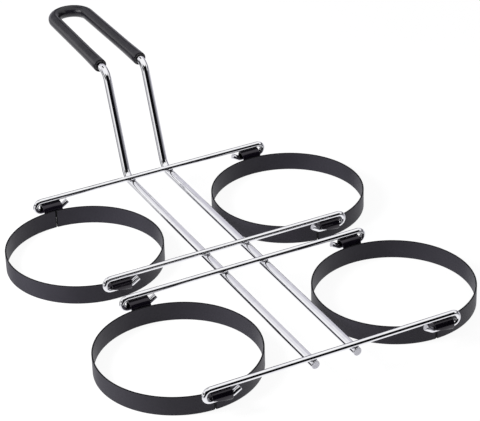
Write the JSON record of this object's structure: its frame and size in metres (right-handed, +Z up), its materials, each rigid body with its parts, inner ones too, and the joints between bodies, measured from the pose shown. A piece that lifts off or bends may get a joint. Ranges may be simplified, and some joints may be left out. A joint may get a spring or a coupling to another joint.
{
  "type": "egg ring",
  "caption": "Long-handled egg ring: shallow coated bands hang loosely on the hooked ends of cross wires welded to a bent handle wire with a sleeved grip.",
  "frame": {"origin": "under the middle of the whole object's length and width, on the surface that the bands stand on", "axes": "+X to the right, +Y along the rails towards the handle, +Z up"},
  "size_m": [0.2204, 0.3466, 0.0781],
  "materials": {
    "chrome_wire": "bright chrome plating on drawn steel wire",
    "weld_metal": "plated weld metal, slightly rough",
    "band_coating": "satin dark grey release coating on steel strip",
    "clip_enamel": "slightly glossy black coating on steel strip",
    "grip_plastic": "soft charcoal plastic sleeve with a fine grain"
  },
  "bodies": {
    "frame": {"handle_wire": "chrome_wire", "grip_sleeve": "grip_plastic", "cross_wire_rear_outer": "chrome_wire", "cross_wire_rear_inner": "chrome_wire", "cross_wire_front_inner": "chrome_wire", "cross_wire_front_outer": "chrome_wire", "weld_bead_rear_outer_left": "weld_metal", "weld_bead_rear_outer_right": "weld_metal", "weld_bead_rear_inner_left": "weld_metal", "weld_bead_rear_inner_right": "weld_metal", "weld_bead_front_inner_left": "weld_metal", "weld_bead_front_inner_right": "weld_metal", "weld_bead_front_outer_left": "weld_metal", "weld_bead_front_outer_right": "weld_metal"},
    "ring_rear_left": {"ring_band_rear_left": "band_coating", "lug_clip_rear_left_outer": "clip_enamel", "lug_clip_rear_left_inner": "clip_enamel"},
    "ring_rear_right": {"ring_band_rear_right": "band_coating", "lug_clip_rear_right_outer": "clip_enamel", "lug_clip_rear_right_inner": "clip_enamel"},
    "ring_front_left": {"ring_band_front_left": "band_coating", "lug_clip_front_left_outer": "clip_enamel", "lug_clip_front_left_inner": "clip_enamel"},
    "ring_front_right": {"ring_band_front_right": "band_coating", "lug_clip_front_right_outer": "clip_enamel", "lug_clip_front_right_inner": "clip_enamel"}
  },
  "joints": [
    {"name": "drop_rear_left", "type": "slide", "parent": "frame", "child": "ring_rear_left", "axis": [0, 0, -1], "range_m": [0, 0.0016]},
    {"name": "drop_rear_right", "type": "slide", "parent": "frame", "child": "ring_rear_right", "axis": [0, 0, -1], "range_m": [0, 0.0016]},
    {"name": "drop_front_left", "type": "slide", "parent": "frame", "child": "ring_front_left", "axis": [0, 0, -1], "range_m": [0, 0.0016]},
    {"name": "drop_front_right", "type": "slide", "parent": "frame", "child": "ring_front_right", "axis": [0, 0, -1], "range_m": [0, 0.0016]}
  ]
}
